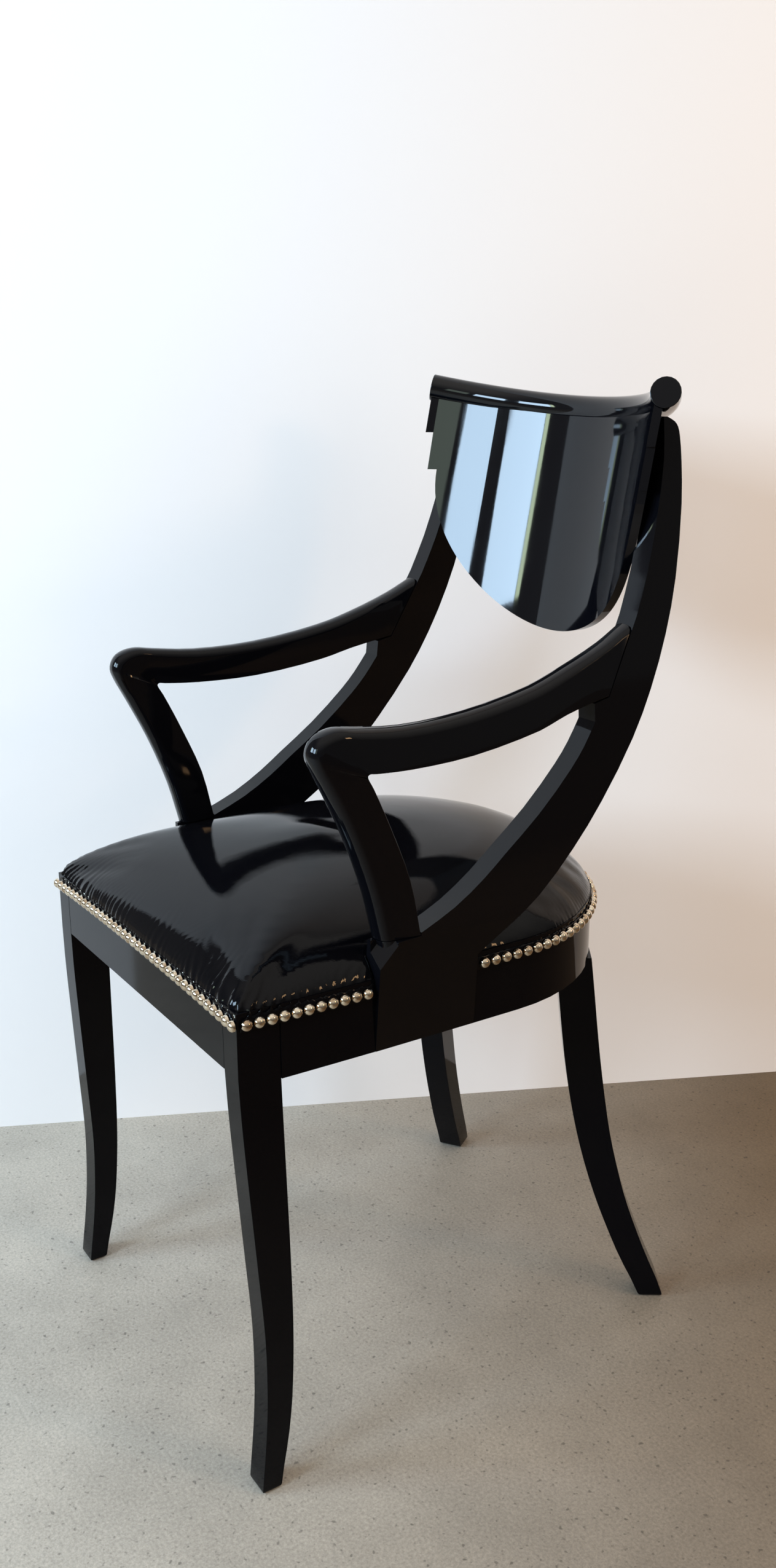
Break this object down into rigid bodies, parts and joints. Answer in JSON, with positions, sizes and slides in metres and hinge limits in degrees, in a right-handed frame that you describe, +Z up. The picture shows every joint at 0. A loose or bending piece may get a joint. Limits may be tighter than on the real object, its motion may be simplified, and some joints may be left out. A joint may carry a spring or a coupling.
{
  "type": "klismos armchair",
  "caption": "Klismos style armchair with a curved back panel on a round crest rail, open arms, a crowned glossy seat edged with domed nails, and sabre legs.",
  "frame": {"origin": "on the floor, below the middle of the chair's overall width and depth", "axes": "+Z up, -Y towards the front of the chair, +X towards the sitter's left arm"},
  "size_m": [0.4302, 0.5421, 0.9409],
  "materials": {
    "black_lacquer": "high gloss black lacquer on beech",
    "frame_wood": "bare beech",
    "seat_plywood": "bare plywood",
    "seat_leather": "glossy black patent leather",
    "nail_nickel": "polished nickel",
    "screw_steel": "plain"
  },
  "bodies": {
    "root": {"crest_rail": "black_lacquer", "back_panel": "black_lacquer", "stile_right": "black_lacquer", "stile_left": "black_lacquer", "arm_right": "black_lacquer", "arm_left": "black_lacquer", "front_leg_right": "black_lacquer", "front_leg_left": "black_lacquer", "rear_leg_right": "black_lacquer", "rear_leg_left": "black_lacquer", "front_rail": "black_lacquer", "side_rail_right": "black_lacquer", "side_rail_left": "black_lacquer", "back_rail": "black_lacquer", "front_corner_block_right": "frame_wood", "front_corner_block_left": "frame_wood", "rear_corner_block_right": "frame_wood", "rear_corner_block_left": "frame_wood", "seat_board": "seat_plywood", "seat_cushion": "seat_leather", "front_block_screw_low_right": "screw_steel", "front_block_screw_low_left": "screw_steel", "rear_block_screw_low_right": "screw_steel", "rear_block_screw_low_left": "screw_steel", "front_block_screw_high_right": "screw_steel", "front_block_screw_high_left": "screw_steel", "rear_block_screw_high_right": "screw_steel", "rear_block_screw_high_left": "screw_steel", "stile_screw_front_right": "screw_steel", "stile_screw_front_left": "screw_steel", "stile_screw_rear_right": "screw_steel", "stile_screw_rear_left": "screw_steel", "arm_dowel_right": "frame_wood", "arm_dowel_left": "frame_wood", "post_dowel_right": "frame_wood", "post_dowel_left": "frame_wood", "nails_side_right": "nail_nickel", "nails_side_left": "nail_nickel", "nails_back": "nail_nickel", "nails_front": "nail_nickel"}
  },
  "joints": []
}
